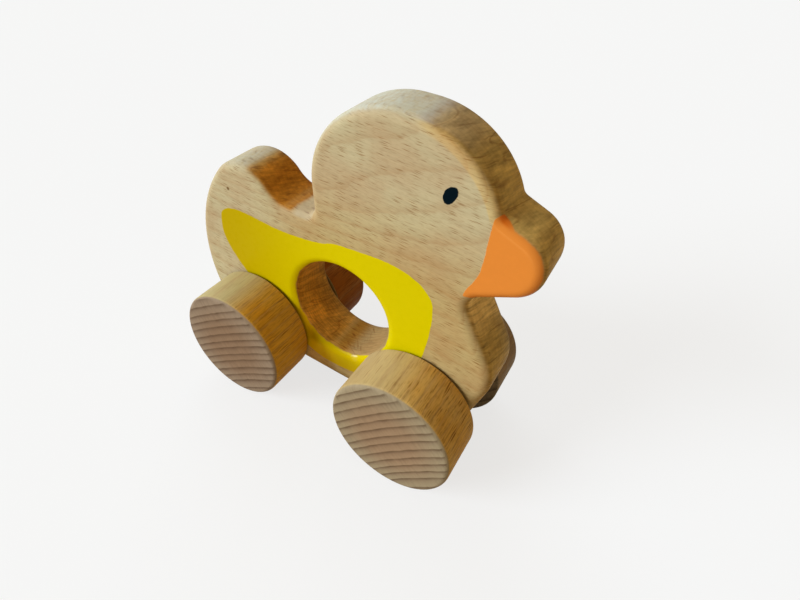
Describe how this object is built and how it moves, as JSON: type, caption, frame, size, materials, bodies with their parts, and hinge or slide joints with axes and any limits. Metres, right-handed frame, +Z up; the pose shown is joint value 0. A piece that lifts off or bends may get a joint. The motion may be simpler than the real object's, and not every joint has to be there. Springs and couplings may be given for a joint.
{
  "type": "wheeled chick toy",
  "caption": "Wooden push-along chick cut from a board with rounded edges and a round grip hole, rolling on thick wooden wheels fixed to dowel axles.",
  "frame": {"origin": "on the floor, under the middle of the toy's bounding box", "axes": "+X forward, towards the beak; +Y to the chick's left, along the axles; +Z up"},
  "size_m": [0.1148, 0.0524, 0.1116],
  "materials": {
    "body_beech": "sanded beech, clear oiled, with satin yellow wings, an orange beak and dark eyes painted on both sides",
    "wheel_beech": "sanded beech, end grain on the flat faces, clear oiled",
    "axle_beech": "plain beech dowel"
  },
  "bodies": {
    "body": {"body": "body_beech"},
    "front_wheelset": {"front_axle": "axle_beech", "front_right_wheel": "wheel_beech", "front_left_wheel": "wheel_beech"},
    "rear_wheelset": {"rear_axle": "axle_beech", "rear_right_wheel": "wheel_beech", "rear_left_wheel": "wheel_beech"}
  },
  "joints": [
    {"name": "front_wheels_roll", "type": "hinge", "parent": "body", "child": "front_wheelset", "pos_m": [0.03105, 0, 0.02], "axis": [0, 1, 0], "continuous": true},
    {"name": "rear_wheels_roll", "type": "hinge", "parent": "body", "child": "rear_wheelset", "pos_m": [-0.03105, 0, 0.02], "axis": [0, 1, 0], "continuous": true}
  ]
}
